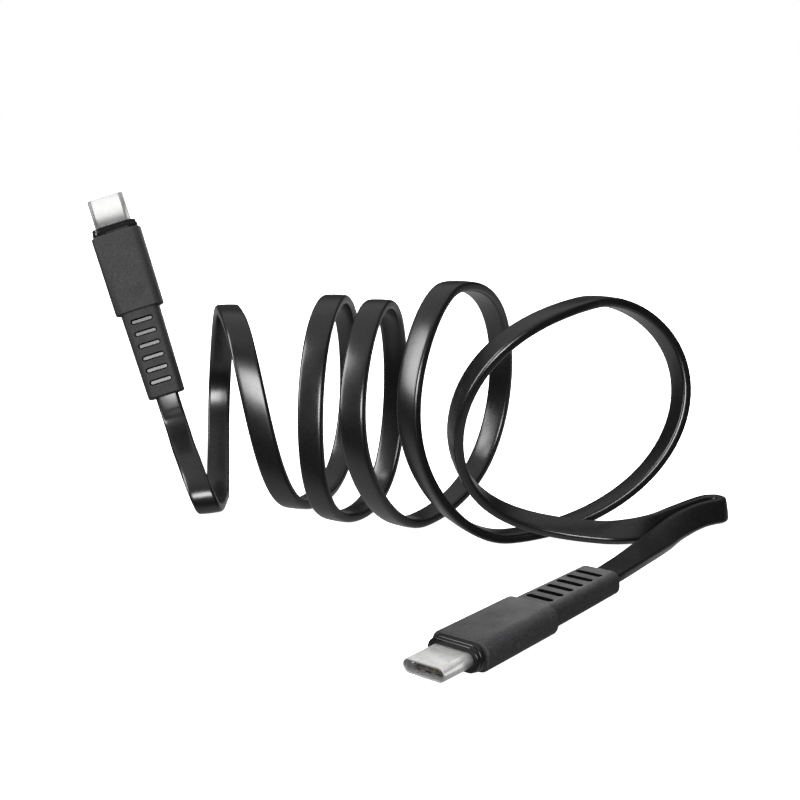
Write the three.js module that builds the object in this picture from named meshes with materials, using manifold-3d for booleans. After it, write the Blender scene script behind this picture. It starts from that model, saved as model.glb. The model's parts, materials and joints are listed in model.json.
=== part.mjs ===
// Charging cable: a flat cable in five open turns with the same small plug on each end.
// Millimetres, +Z up, standing on z = 0. The origin is below the middle of the two plugs.

import * as THREE from 'three';
import { mergeVertices } from 'three/addons/utils/BufferGeometryUtils.js';
import Module from 'manifold-3d';

const wasm = await Module();
wasm.setup();

// ---------------------------------------------------------------- driving dimensions

// Clearances
const FIT = 0.05; // between stamped and moulded pieces that seat in each other
const SOLDER = 0.03; // between a contact tail, a wire or the chip and its pad
const CABLE_GAP = 0.3; // between the free cable and its end inside the strain relief
const TRIM = 0.5; // how far a cutter passes the faces that it cuts
const ROUND_SHARE = 0.3; // share of a rounding that its middle facet stands back

// Flat cable
const CABLE_WIDTH = 5.1;
const CABLE_THICKNESS = 2.05;
const CABLE_EDGE = 0.8; // rounding of its two edges

// Metal nose that goes into the socket
const NOSE_WIDTH = 8.25;
const NOSE_THICKNESS = 2.4;
const NOSE_WALL = 0.25;
const NOSE_EXPOSED = 6.65;
const NOSE_HELD = 4.6; // length of it inside the inner mould
const NOSE_LIP = 0.12; // rounding of its mouth

// Contact carrier inside the nose
const CARRIER_SETBACK = 0.35; // from the mouth to its face
const CARRIER_LENGTH = 6.2;
const SLOT_SIDE = 0.275; // wall beside the tongue's slot
const SLOT_WALL = 0.25; // wall above and below it

// Contacts
const CONTACT_PITCH = 0.5;
const CONTACT_WIDTH = 0.28;
const CONTACT_THICKNESS = 0.12;
const CONTACT_REACH = 0.36; // from the middle plane to the tip that touches the tongue
const CONTACT_START = 2.2; // from the mouth to the contacts' front ends
const CONTACT_RAMP = 0.8; // from a front end to its tip
const CONTACT_SPRING = 2.0; // from a front end to where it lies flat
const CONTACT_BEND = 0.35; // length of the bend down to the board
const CONTACT_SHY = 0.02; // how much lower a front end lies than its seat
const WAFER_LENGTH = 1.7;
const UPPER_CONTACTS = [-11, -5, -3, -1, 1, 5, 11]; // places in half pitches
const LOWER_CONTACTS = [-11, -5, 1, 5, 11];

// Latch plate between the two wafers
const LATCH_THICKNESS = 0.2;
const LATCH_ARM = 0.18; // width of a side arm
const LATCH_HOOK = 0.25; // how far its hook reaches in
const LATCH_HOOK_LENGTH = 0.8;
const LATCH_START = 1.3; // from the mouth to the arms' ends

// Ground springs behind the mouth
const SPRING_THICKNESS = 0.1;
const SPRING_WIDTH = 5.6;
const SPRING_BAND = 0.7; // length of the band that joins the fingers
const SPRING_START = 0.75; // from the mouth
const FINGER_WIDTH = 0.8;
const FINGER_LENGTH = 0.85;
const FINGER_DROP = 0.3;
const FINGER_END_DROP = 0.21; // of a finger's end, which turns back up
const FINGER_END_LENGTH = 0.3; // from its end to its lowest place
const FINGER_PITCH = 2.0;
const FINGERS = 3;

// Paddle board and its chip
const BOARD_WIDTH = 7.2;
const BOARD_LENGTH = 7.6;
const BOARD_THICKNESS = 0.6;
const TAIL_LENGTH = 1.3; // contact tail on the board
const CHIP_SIZE = 2.0;
const CHIP_HEIGHT = 0.55;

// Stamped covers over the board
const COVER_WALL = 0.2;
const COVER_OVERLAP = 1.6; // over the back of the nose
const COVER_LENGTH = 11.2;

// Inner mould, whose front shows as the collar: a low step, a shoulder and a groove
const COLLAR_EXPOSED = 1.75;
const COLLAR_STEP_LENGTH = 0.7;
const COLLAR_STEP_WIDTH = 10.1;
const COLLAR_STEP_THICKNESS = 4.3;
const COLLAR_SHOULDER_LENGTH = 0.75;
const COLLAR_SHOULDER_WIDTH = 10.4;
const COLLAR_SHOULDER_THICKNESS = 4.55;
const INNER_WIDTH = 9.9;
const INNER_THICKNESS = 4.0;
const INNER_REAR_WALL = 1.0;
const CRIMP_ROOM = 0.2; // between the crimp band and the rear wall

// Grip sleeve
const SLEEVE_LENGTH = 18.2;
const SLEEVE_WIDTH_FRONT = 11.3;
const SLEEVE_WIDTH_REAR = 11.0;
const SLEEVE_THICKNESS = 5.05;
const SLEEVE_CORNER = 2.1;
const SLEEVE_ROUNDING = 0.35; // of its front and rear edges

// Strain relief
const RELIEF_LENGTH = 20.0;
const RELIEF_WIDTH_FRONT = 8.8;
const RELIEF_WIDTH_REAR = 8.2;
const RELIEF_THICKNESS_FRONT = 4.3;
const RELIEF_THICKNESS_REAR = 4.1;
const RELIEF_CORNER = 1.5;
const RELIEF_ROUNDING = 0.5; // of its rear edge
const RELIEF_FLANGE = 1.2; // length of the flange that the sleeve holds
const RELIEF_CLEARANCE = 0.12; // round the cable
const WINDOW_COUNT = 6;
const WINDOW_PITCH = 2.82;
const WINDOW_FIRST = 2.4; // from the sleeve to the first window's middle
const WINDOW_LENGTH = 5.2;
const WINDOW_WIDTH = 1.25;

// Cable end, crimp and wires
const CABLE_END_SETBACK = 1.2; // from the strain relief's rear face to the free cable
const JACKET_IN_COVER = 1.5; // how far the jacket reaches between the covers
const CRIMP_LENGTH = 1.9;
const CRIMP_WALL = 0.35;
const WIRE_PITCH = 1.0;
const WIRE_THICK = 0.85;
const WIRE_THIN = 0.6;
const WIRE_ON_BOARD = 1.2; // length of a wire end on its pad
const WIRE_EASE = 0.25; // share of a wire's free length that stays straight at each end

// ---------------------------------------------------------------- places worked out from them

const COLLAR_END = NOSE_EXPOSED + COLLAR_EXPOSED;
const SLEEVE_END = COLLAR_END + SLEEVE_LENGTH;
const PLUG_LENGTH = SLEEVE_END + RELIEF_LENGTH;
const NOSE_END = NOSE_EXPOSED + NOSE_HELD;
const CARRIER_END = CARRIER_SETBACK + CARRIER_LENGTH;
const CARRIER_WIDTH = NOSE_WIDTH - 2 * (NOSE_WALL + FIT);
const CARRIER_THICKNESS = NOSE_THICKNESS - 2 * (NOSE_WALL + FIT);
const SLOT_WIDTH = CARRIER_WIDTH - 2 * SLOT_SIDE;
const SLOT_HEIGHT = CARRIER_THICKNESS - 2 * SLOT_WALL;
const WAFER_START = CARRIER_END + FIT;
const WAFER_END = WAFER_START + WAFER_LENGTH;
const BOARD_START = WAFER_END + FIT;
const BOARD_END = BOARD_START + BOARD_LENGTH;
const COVER_START = NOSE_END - COVER_OVERLAP;
const COVER_END = COVER_START + COVER_LENGTH;
const COVER_WIDTH = NOSE_WIDTH + 2 * (FIT + COVER_WALL);
const COVER_THICKNESS = NOSE_THICKNESS + 2 * (FIT + COVER_WALL);
const CRIMP_START = COVER_END + FIT;
const INNER_END = CRIMP_START + CRIMP_LENGTH + CRIMP_ROOM + INNER_REAR_WALL;
const CABLE_END_START = COVER_END - JACKET_IN_COVER;
const CABLE_END_STOP = PLUG_LENGTH - CABLE_END_SETBACK - CABLE_GAP;
const RELIEF_START = INNER_END + FIT;
const RELIEF_FLANGE_END = RELIEF_START + RELIEF_FLANGE;

// ---------------------------------------------------------------- finishes

function finish(name, color, roughness, metalness) {
  return new THREE.MeshStandardMaterial({ name, color, roughness, metalness });
}

const FINISHES = {
  nickel: finish('nickel_shell', 0xdcdcda, 0.25, 1.0),
  blackMould: finish('black_carrier', 0x161617, 0.45, 0.0),
  gold: finish('gold_contacts', 0xd8a84a, 0.25, 1.0),
  spring: finish('spring_steel', 0xb9bbbd, 0.3, 1.0),
  board: finish('green_board', 0x1d5a35, 0.5, 0.0),
  chip: finish('chip_black', 0x121214, 0.6, 0.0),
  gloss: finish('gloss_collar', 0x0d0d0e, 0.12, 0.0),
  matte: finish('matte_sleeve', 0x2b2b2d, 0.75, 0.0),
  relief: finish('relief_rubber', 0x303033, 0.7, 0.0),
  jacket: finish('cable_jacket', 0x101011, 0.18, 0.0),
  red: finish('wire_red', 0xa8201c, 0.45, 0.0),
  blue: finish('wire_blue', 0x1f4fa8, 0.45, 0.0),
  green: finish('wire_green', 0x1f7a3c, 0.45, 0.0),
  white: finish('wire_white', 0xdddddb, 0.45, 0.0),
  black: finish('wire_black', 0x1a1a1b, 0.45, 0.0),
};

// ---------------------------------------------------------------- solids

// A rounded rectangle as a closed ring of points, anticlockwise, with `steps` facets a corner.
function roundedRing(width, thickness, corner, steps) {
  const radius = Math.min(corner, width / 2, thickness / 2) - 1e-3;
  const ring = [];
  for (let quarter = 0; quarter < 4; quarter += 1) {
    const signX = quarter === 0 || quarter === 3 ? 1 : -1;
    const signY = quarter < 2 ? 1 : -1;
    for (let step = 0; step <= steps; step += 1) {
      const angle = (quarter + step / steps) * (Math.PI / 2);
      ring.push(new THREE.Vector2(
        signX * (width / 2 - radius) + radius * Math.cos(angle),
        signY * (thickness / 2 - radius) + radius * Math.sin(angle),
      ));
    }
  }
  return ring;
}

// A closed solid through rings of equally many points in space, each given in turn.
function skin(rings) {
  const sides = rings[0].length;
  const vertices = rings.flat();
  const triangles = [];
  for (let row = 0; row < rings.length - 1; row += 1) {
    for (let side = 0; side < sides; side += 1) {
      const next = (side + 1) % sides;
      const a = row * sides + side;
      const b = row * sides + next;
      triangles.push(a, b, b + sides, a, b + sides, a + sides);
    }
  }
  for (let side = 1; side < sides - 1; side += 1) {
    triangles.push(0, side + 1, side);
    const last = (rings.length - 1) * sides;
    triangles.push(last, last + side, last + side + 1);
  }
  const geometry = new THREE.BufferGeometry();
  geometry.setAttribute('position', new THREE.Float32BufferAttribute(
    vertices.flatMap((vertex) => [vertex.x, vertex.y, vertex.z]), 3));
  geometry.setIndex(triangles);
  return geometry;
}

// A loft along Z through rounded rectangles: [z, width, thickness, corner] each.
function loft(sections, steps = 4) {
  return skin(sections.map(([z, width, thickness, corner]) => (
    roundedRing(width, thickness, corner, steps).map((point) => new THREE.Vector3(point.x, point.y, z))
  )));
}

// A straight length of one rounded rectangle.
function bar(start, end, width, thickness, corner, steps = 4) {
  return loft([[start, width, thickness, corner], [end, width, thickness, corner]], steps);
}

function block(width, thickness, length, x, y, z) {
  return new THREE.BoxGeometry(width, thickness, length).translate(x, y, z + length / 2);
}

function toSolid(geometry) {
  const bare = geometry.clone();
  bare.deleteAttribute('normal');
  bare.deleteAttribute('uv');
  const merged = mergeVertices(bare, 1e-5);
  return new wasm.Manifold(new wasm.Mesh({
    numProp: 3,
    vertProperties: new Float32Array(merged.attributes.position.array),
    triVerts: new Uint32Array(merged.index.array),
  }));
}

function toGeometry(solid) {
  const mesh = solid.getMesh();
  const geometry = new THREE.BufferGeometry();
  geometry.setAttribute('position', new THREE.BufferAttribute(new Float32Array(mesh.vertProperties), 3));
  geometry.setIndex(new THREE.BufferAttribute(new Uint32Array(mesh.triVerts), 1));
  return geometry;
}

function join(geometries) {
  return toGeometry(geometries.map(toSolid).reduce((whole, piece) => whole.add(piece)));
}

function cut(geometry, cutters) {
  const whole = toSolid(geometry);
  return toGeometry(cutters.map(toSolid).reduce((rest, piece) => rest.subtract(piece), whole));
}

// A bent strip of sheet metal: `path` holds its lower face as [z, y], and it is `width` wide about x.
function bentStrip(path, thickness, width, x) {
  const outline = new THREE.Shape();
  path.forEach(([z, y], index) => (index ? outline.lineTo(z, y) : outline.moveTo(z, y)));
  [...path].reverse().forEach(([z, y]) => outline.lineTo(z, y + thickness));
  const geometry = new THREE.ExtrudeGeometry(outline, { depth: width, bevelEnabled: false });
  geometry.applyMatrix4(new THREE.Matrix4().makeBasis(
    new THREE.Vector3(0, 0, 1), new THREE.Vector3(0, 1, 0), new THREE.Vector3(-1, 0, 0)));
  return geometry.translate(x + width / 2, 0, 0);
}

// The same solid on the other side of the plug's middle plane: half a turn about its axis.
function flipped(geometry) {
  return geometry.clone().rotateZ(Math.PI);
}

// ---------------------------------------------------------------- one plug
// X across its width, Y through its thickness, Z from the nose's mouth (z = 0) to the cable.

function noseShell() {
  const outside = loft([
    [0, NOSE_WIDTH - 2 * NOSE_LIP, NOSE_THICKNESS - 2 * NOSE_LIP, NOSE_THICKNESS],
    [NOSE_LIP, NOSE_WIDTH, NOSE_THICKNESS, NOSE_THICKNESS],
    [NOSE_END, NOSE_WIDTH, NOSE_THICKNESS, NOSE_THICKNESS],
  ], 6);
  const bore = bar(-TRIM, NOSE_END + TRIM, NOSE_WIDTH - 2 * NOSE_WALL, NOSE_THICKNESS - 2 * NOSE_WALL,
    NOSE_THICKNESS, 6);
  return cut(outside, [bore]);
}

function fingerPlaces() {
  return Array.from({ length: FINGERS }, (unused, index) => (index - (FINGERS - 1) / 2) * FINGER_PITCH);
}

// The moulding that guides the socket's tongue, with a seat and three windows for each ground spring.
function contactCarrier() {
  const outside = bar(CARRIER_SETBACK, CARRIER_END, CARRIER_WIDTH, CARRIER_THICKNESS, CARRIER_THICKNESS, 5);
  const slot = bar(CARRIER_SETBACK - TRIM, CARRIER_END + TRIM, SLOT_WIDTH, SLOT_HEIGHT, SLOT_HEIGHT / 4, 1);
  const seatDepth = SPRING_THICKNESS + FIT;
  const seat = block(SPRING_WIDTH + 2 * FIT, seatDepth + TRIM, SPRING_BAND + 2 * FIT,
    0, CARRIER_THICKNESS / 2 - seatDepth + (seatDepth + TRIM) / 2, SPRING_START + FINGER_LENGTH - FIT);
  const windows = fingerPlaces().map((x) => block(FINGER_WIDTH + 4 * FIT, CARRIER_THICKNESS / 2 + TRIM,
    FINGER_LENGTH + 2 * FIT, x, (CARRIER_THICKNESS / 2 + TRIM) / 2, SPRING_START - FIT));
  const upper = [seat, ...windows];
  return cut(outside, [slot, ...upper, ...upper.map(flipped)]);
}

// A band in the carrier's seat, with fingers that dip through its windows to the tongue.
function groundSpring() {
  const face = CARRIER_THICKNESS / 2 - SPRING_THICKNESS;
  const bandStart = SPRING_START + FINGER_LENGTH;
  const middle = face + SPRING_THICKNESS / 2;
  const band = block(SPRING_WIDTH, SPRING_THICKNESS, SPRING_BAND, 0, middle, bandStart);
  const path = [
    [SPRING_START, face - FINGER_END_DROP],
    [SPRING_START + FINGER_END_LENGTH, face - FINGER_DROP],
    [bandStart - FIT, face],
    [bandStart + SPRING_BAND / 2, face],
  ];
  const fingers = fingerPlaces().map((x) => bentStrip(path, SPRING_THICKNESS, FINGER_WIDTH, x));
  return join([band, ...fingers]);
}

// One row of contacts moulded into its wafer: tips towards the tongue, tails on the board.
function contactRow(places) {
  const seat = SLOT_HEIGHT / 2 - FIT - CONTACT_THICKNESS;
  const tail = BOARD_THICKNESS / 2 + SOLDER;
  const path = [
    [CONTACT_START, seat - CONTACT_SHY],
    [CONTACT_START + CONTACT_RAMP, CONTACT_REACH],
    [CONTACT_START + CONTACT_SPRING, seat],
    [WAFER_END, seat],
    [WAFER_END + CONTACT_BEND, tail],
    [WAFER_END + CONTACT_BEND + TAIL_LENGTH, tail],
  ];
  const strips = places.map((place) => (
    bentStrip(path, CONTACT_THICKNESS, CONTACT_WIDTH, place * CONTACT_PITCH / 2)
  ));
  const inside = LATCH_THICKNESS / 2 + FIT;
  const outside = CARRIER_THICKNESS / 2;
  const whole = bar(WAFER_START, WAFER_END, CARRIER_WIDTH, CARRIER_THICKNESS, CARRIER_THICKNESS, 4);
  const below = block(CARRIER_WIDTH + 2 * TRIM, outside + inside, WAFER_LENGTH + 2 * TRIM,
    0, (inside - outside) / 2, WAFER_START - TRIM);
  return join([cut(whole, [below]), ...strips]);
}

// A plate between the wafers whose two side arms reach forward and hook into the tongue's sides.
function latchPlate() {
  const armOuter = SLOT_WIDTH / 2 - FIT;
  const armInner = armOuter - LATCH_ARM;
  const outline = new THREE.Shape();
  outline.moveTo(armOuter, LATCH_START);
  outline.lineTo(armOuter, WAFER_END);
  outline.lineTo(-armOuter, WAFER_END);
  outline.lineTo(-armOuter, LATCH_START);
  outline.lineTo(-armInner, LATCH_START);
  outline.lineTo(-armInner + LATCH_HOOK, LATCH_START + LATCH_HOOK_LENGTH / 2);
  outline.lineTo(-armInner, LATCH_START + LATCH_HOOK_LENGTH);
  outline.lineTo(-armInner, WAFER_START);
  outline.lineTo(armInner, WAFER_START);
  outline.lineTo(armInner, LATCH_START + LATCH_HOOK_LENGTH);
  outline.lineTo(armInner - LATCH_HOOK, LATCH_START + LATCH_HOOK_LENGTH / 2);
  outline.lineTo(armInner, LATCH_START);
  const geometry = new THREE.ExtrudeGeometry(outline, { depth: LATCH_THICKNESS, bevelEnabled: false });
  geometry.rotateX(Math.PI / 2);
  return geometry.translate(0, LATCH_THICKNESS / 2, 0);
}

function board() {
  return block(BOARD_WIDTH, BOARD_THICKNESS, BOARD_LENGTH, 0, 0, BOARD_START);
}

function chip() {
  const y = BOARD_THICKNESS / 2 + SOLDER + CHIP_HEIGHT / 2;
  const z = BOARD_START + (BOARD_LENGTH - CHIP_SIZE) / 2;
  return block(CHIP_SIZE, CHIP_HEIGHT, CHIP_SIZE, 0, y, z);
}

// The upper half of the stamped cover; the lower half is the same piece turned over.
function shieldCover() {
  const outside = bar(COVER_START, COVER_END, COVER_WIDTH, COVER_THICKNESS, COVER_THICKNESS / 2, 4);
  const inside = bar(COVER_START - TRIM, COVER_END + TRIM, COVER_WIDTH - 2 * COVER_WALL,
    COVER_THICKNESS - 2 * COVER_WALL, COVER_THICKNESS / 2 - COVER_WALL, 4);
  const length = COVER_LENGTH + 2 * TRIM;
  const below = COVER_THICKNESS / 2 + TRIM + FIT;
  const lowerHalf = block(COVER_WIDTH + 2 * TRIM, below, length, 0, FIT - below / 2, COVER_START - TRIM);
  return cut(outside, [inside, lowerHalf]);
}

function crimpBand() {
  const width = CABLE_WIDTH + 2 * FIT;
  const thickness = CABLE_THICKNESS + 2 * FIT;
  const end = CRIMP_START + CRIMP_LENGTH;
  const outside = bar(CRIMP_START, end, width + 2 * CRIMP_WALL, thickness + 2 * CRIMP_WALL,
    CABLE_EDGE + CRIMP_WALL, 3);
  const bore = bar(CRIMP_START - TRIM, end + TRIM, width, thickness, CABLE_EDGE, 3);
  return cut(outside, [bore]);
}

// The glossy inner moulding: a stepped collar round the nose, then a box round the covers.
function innerMould() {
  const shoulder = NOSE_EXPOSED + COLLAR_STEP_LENGTH;
  const groove = shoulder + COLLAR_SHOULDER_LENGTH;
  const outside = [
    bar(NOSE_EXPOSED, shoulder, COLLAR_STEP_WIDTH, COLLAR_STEP_THICKNESS, COLLAR_STEP_THICKNESS / 2, 5),
    bar(shoulder, groove, COLLAR_SHOULDER_WIDTH, COLLAR_SHOULDER_THICKNESS,
      COLLAR_SHOULDER_THICKNESS / 2, 5),
    bar(shoulder, INNER_END, INNER_WIDTH, INNER_THICKNESS, INNER_THICKNESS / 2, 5),
  ];
  const mouth = bar(NOSE_EXPOSED - TRIM, COVER_START, NOSE_WIDTH + 2 * FIT, NOSE_THICKNESS + 2 * FIT,
    NOSE_THICKNESS, 5);
  const room = bar(COVER_START - FIT, INNER_END - INNER_REAR_WALL, COVER_WIDTH + 2 * FIT,
    COVER_THICKNESS + 2 * FIT, COVER_THICKNESS / 2, 5);
  const back = bar(COVER_END, INNER_END + TRIM, CABLE_WIDTH + 2 * RELIEF_CLEARANCE,
    CABLE_THICKNESS + 2 * RELIEF_CLEARANCE, CABLE_EDGE, 3);
  return cut(join(outside), [mouth, room, back]);
}

function gripSleeve() {
  const slim = 2 * SLEEVE_ROUNDING;
  const front = COLLAR_END;
  const outside = loft([
    [front, SLEEVE_WIDTH_FRONT - slim, SLEEVE_THICKNESS - slim, SLEEVE_CORNER],
    [front + ROUND_SHARE * SLEEVE_ROUNDING, SLEEVE_WIDTH_FRONT - ROUND_SHARE * slim,
      SLEEVE_THICKNESS - ROUND_SHARE * slim, SLEEVE_CORNER],
    [front + SLEEVE_ROUNDING, SLEEVE_WIDTH_FRONT, SLEEVE_THICKNESS, SLEEVE_CORNER],
    [SLEEVE_END - SLEEVE_ROUNDING, SLEEVE_WIDTH_REAR, SLEEVE_THICKNESS, SLEEVE_CORNER],
    [SLEEVE_END - ROUND_SHARE * SLEEVE_ROUNDING, SLEEVE_WIDTH_REAR - ROUND_SHARE * slim,
      SLEEVE_THICKNESS - ROUND_SHARE * slim, SLEEVE_CORNER],
    [SLEEVE_END, SLEEVE_WIDTH_REAR - slim, SLEEVE_THICKNESS - slim, SLEEVE_CORNER],
  ], 5);
  const bore = bar(front - TRIM, INNER_END + FIT, INNER_WIDTH + 2 * FIT, INNER_THICKNESS + 2 * FIT,
    INNER_THICKNESS / 2, 5);
  const flangeSeat = bar(INNER_END, RELIEF_FLANGE_END + FIT, INNER_WIDTH + 2 * FIT,
    RELIEF_THICKNESS_FRONT + 2 * FIT, RELIEF_THICKNESS_FRONT / 2, 4);
  const back = bar(RELIEF_FLANGE_END, SLEEVE_END + TRIM, RELIEF_WIDTH_FRONT + 2 * FIT,
    RELIEF_THICKNESS_FRONT + 2 * FIT, RELIEF_CORNER, 4);
  return cut(outside, [bore, flangeSeat, back]);
}

// A pill that runs through both faces, wide across the relief.
function windowCutter(z) {
  const half = (WINDOW_LENGTH - WINDOW_WIDTH) / 2;
  const outline = new THREE.Shape();
  outline.absarc(half, 0, WINDOW_WIDTH / 2, -Math.PI / 2, Math.PI / 2, false);
  outline.absarc(-half, 0, WINDOW_WIDTH / 2, Math.PI / 2, 1.5 * Math.PI, false);
  const depth = RELIEF_THICKNESS_FRONT + 2 * TRIM;
  const geometry = new THREE.ExtrudeGeometry(outline, { depth, bevelEnabled: false, curveSegments: 5 });
  return geometry.translate(0, 0, -depth / 2).rotateX(Math.PI / 2).translate(0, 0, z);
}

// The boot: a flange that the sleeve holds, then a taper with windows down to the jacket.
function strainRelief() {
  const flange = bar(RELIEF_START, RELIEF_FLANGE_END, INNER_WIDTH, RELIEF_THICKNESS_FRONT,
    RELIEF_THICKNESS_FRONT / 2, 4);
  const edge = 2 * RELIEF_ROUNDING;
  const body = loft([
    [RELIEF_START + FIT, RELIEF_WIDTH_FRONT, RELIEF_THICKNESS_FRONT, RELIEF_CORNER],
    [SLEEVE_END, RELIEF_WIDTH_FRONT, RELIEF_THICKNESS_FRONT, RELIEF_CORNER],
    [PLUG_LENGTH - RELIEF_ROUNDING, RELIEF_WIDTH_REAR, RELIEF_THICKNESS_REAR, RELIEF_CORNER],
    [PLUG_LENGTH - ROUND_SHARE * RELIEF_ROUNDING, RELIEF_WIDTH_REAR - ROUND_SHARE * edge,
      RELIEF_THICKNESS_REAR - ROUND_SHARE * edge, RELIEF_CORNER],
    [PLUG_LENGTH, RELIEF_WIDTH_REAR - edge, RELIEF_THICKNESS_REAR - edge, RELIEF_CORNER],
  ], 4);
  const channel = bar(RELIEF_START - TRIM, PLUG_LENGTH + TRIM, CABLE_WIDTH + 2 * RELIEF_CLEARANCE,
    CABLE_THICKNESS + 2 * RELIEF_CLEARANCE, CABLE_EDGE, 3);
  const windows = Array.from({ length: WINDOW_COUNT }, (unused, index) => (
    windowCutter(SLEEVE_END + WINDOW_FIRST + index * WINDOW_PITCH)
  ));
  return cut(join([flange, body]), [channel, ...windows]);
}

// The jacket's last stretch, which the strain relief's windows show.
function cableEnd() {
  return bar(CABLE_END_START, CABLE_END_STOP, CABLE_WIDTH, CABLE_THICKNESS, CABLE_EDGE, 3);
}

// A core from the jacket's end to its pad, above the board (side 1) or below it (side -1).
function wire(place, diameter, side) {
  const x = place * WIRE_PITCH;
  const onBoard = side * (BOARD_THICKNESS / 2 + SOLDER + diameter / 2);
  const pad = BOARD_END - WIRE_ON_BOARD;
  const free = CABLE_END_START - BOARD_END;
  const path = new THREE.CatmullRomCurve3([
    new THREE.Vector3(x, onBoard, pad),
    new THREE.Vector3(x, onBoard, BOARD_END),
    new THREE.Vector3(x, onBoard, BOARD_END + WIRE_EASE * free),
    new THREE.Vector3(x, 0, CABLE_END_START - WIRE_EASE * free),
    new THREE.Vector3(x, 0, CABLE_END_START - FIT),
  ]);
  const section = new THREE.Shape();
  section.absarc(0, 0, diameter / 2, 0, 2 * Math.PI, false);
  return new THREE.ExtrudeGeometry(section, { extrudePath: path, steps: 9, curveSegments: 4 });
}

// Every piece of one plug: name, solid and finish.
function plugPieces() {
  return [
    ['nose_shell', noseShell(), FINISHES.nickel],
    ['contact_carrier', contactCarrier(), FINISHES.blackMould],
    ['contacts_upper', contactRow(UPPER_CONTACTS), FINISHES.gold],
    ['contacts_lower', flipped(contactRow(LOWER_CONTACTS)), FINISHES.gold],
    ['latch_plate', latchPlate(), FINISHES.spring],
    ['ground_spring_upper', groundSpring(), FINISHES.spring],
    ['ground_spring_lower', flipped(groundSpring()), FINISHES.spring],
    ['board', board(), FINISHES.board],
    ['chip', chip(), FINISHES.chip],
    ['shield_cover_upper', shieldCover(), FINISHES.spring],
    ['shield_cover_lower', flipped(shieldCover()), FINISHES.spring],
    ['wire_power', wire(-2, WIRE_THICK, 1), FINISHES.red],
    ['wire_ground', wire(2, WIRE_THICK, 1), FINISHES.black],
    ['wire_sense', wire(-1, WIRE_THIN, -1), FINISHES.blue],
    ['wire_data_a', wire(0, WIRE_THIN, -1), FINISHES.green],
    ['wire_data_b', wire(1, WIRE_THIN, -1), FINISHES.white],
    ['crimp_band', crimpBand(), FINISHES.spring],
    ['inner_mould', innerMould(), FINISHES.gloss],
    ['grip_sleeve', gripSleeve(), FINISHES.matte],
    ['strain_relief', strainRelief(), FINISHES.relief],
    ['cable_end', cableEnd(), FINISHES.jacket],
  ];
}

// ---------------------------------------------------------------- places of the two plugs

const UP = new THREE.Vector3(0, 0, 1);

// Plug A is held up with its nose up; plug B lies flat. `tail` is the middle of the strain relief's
// rear face, and the axis from the nose to the cable has this heading, pitch and roll in degrees.
const PLUG_A = { tail: [-35.7, 48, 22.3], heading: -35.5, pitch: -68.1, roll: 52.4 };
const PLUG_B = { tail: [51, -22.3, 4.25], heading: 47.8, pitch: 2.4, roll: -2 };

// The plug's axis, its width direction and the point where its cable leaves it.
function plugPlace({ tail, heading, pitch, roll }) {
  const turn = THREE.MathUtils.degToRad(heading);
  const rise = THREE.MathUtils.degToRad(pitch);
  const axis = new THREE.Vector3(
    Math.cos(rise) * Math.cos(turn), Math.cos(rise) * Math.sin(turn), Math.sin(rise));
  const across = new THREE.Vector3(-Math.sin(turn), Math.cos(turn), 0)
    .applyAxisAngle(axis, THREE.MathUtils.degToRad(roll));
  return { axis, across, tail: new THREE.Vector3(...tail) };
}

const PLACE_A = plugPlace(PLUG_A);
const PLACE_B = plugPlace(PLUG_B);

function plugMatrix({ axis, across, tail }) {
  const face = new THREE.Vector3().crossVectors(axis, across);
  const mouth = tail.clone().addScaledVector(axis, -PLUG_LENGTH);
  return new THREE.Matrix4().makeBasis(across, face, axis).setPosition(mouth);
}

// ---------------------------------------------------------------- the cable's route

const STRAIGHT = 3.0; // straight stretch outside each plug
const HALF_TURN_STEPS = 12;
const SPAN_STEPS = 3; // tube rings between two listed points
const SAME_STRETCH = 3 * CABLE_WIDTH; // nearer than this along the cable is not another part of it

// From plug A, which points down, forward over the floor and back under itself to the first bottom.
const LEAD_IN = [
  [-33.65, 45.9, 16.8],
  [-32.2, 42.3, 14.7],
  [-30.6, 37.2, 13.2],
  [-28.7, 32.2, 11.3],
  [-26.8, 28.2, 8.5],
  [-25.1, 26.1, 5.3],
  [-24.1, 26.9, 2.6],
  [-23.8, 30.4, 1.5],
  [-23.9, 35, 1.3],
  [-24.1, 39.6, 1.17],
];

// From the last bottom round a turn on its edge and back to plug B: [x, y, z, roll in degrees].
const LEAD_OUT = [
  [62.9, 10, 2.8, 48],
  [67.6, 13, 2.9, 72],
  [71.5, 17.7, 2.8, 86],
  [75.2, 22, 2.7, 90],
  [78.2, 25, 2.7, 90],
  [80.6, 26.7, 2.75, 91],
  [82.7, 26.8, 2.8, 94],
  [83.7, 25, 2.9, 98],
  [82.8, 23.1, 3, 103],
  [80.7, 21.5, 3.1, 109],
  [77.9, 19.1, 3.2, 117],
  [74.3, 15, 3.2, 128],
  [70.2, 9.2, 3.25, 141],
  [66.4, 2.4, 3.4, 154],
  [62.8, -4.2, 3.8, 165],
  [59.4, -10.1, 4.15, 173],
  [56.6, -14.6, 4.25, 177],
];

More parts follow.
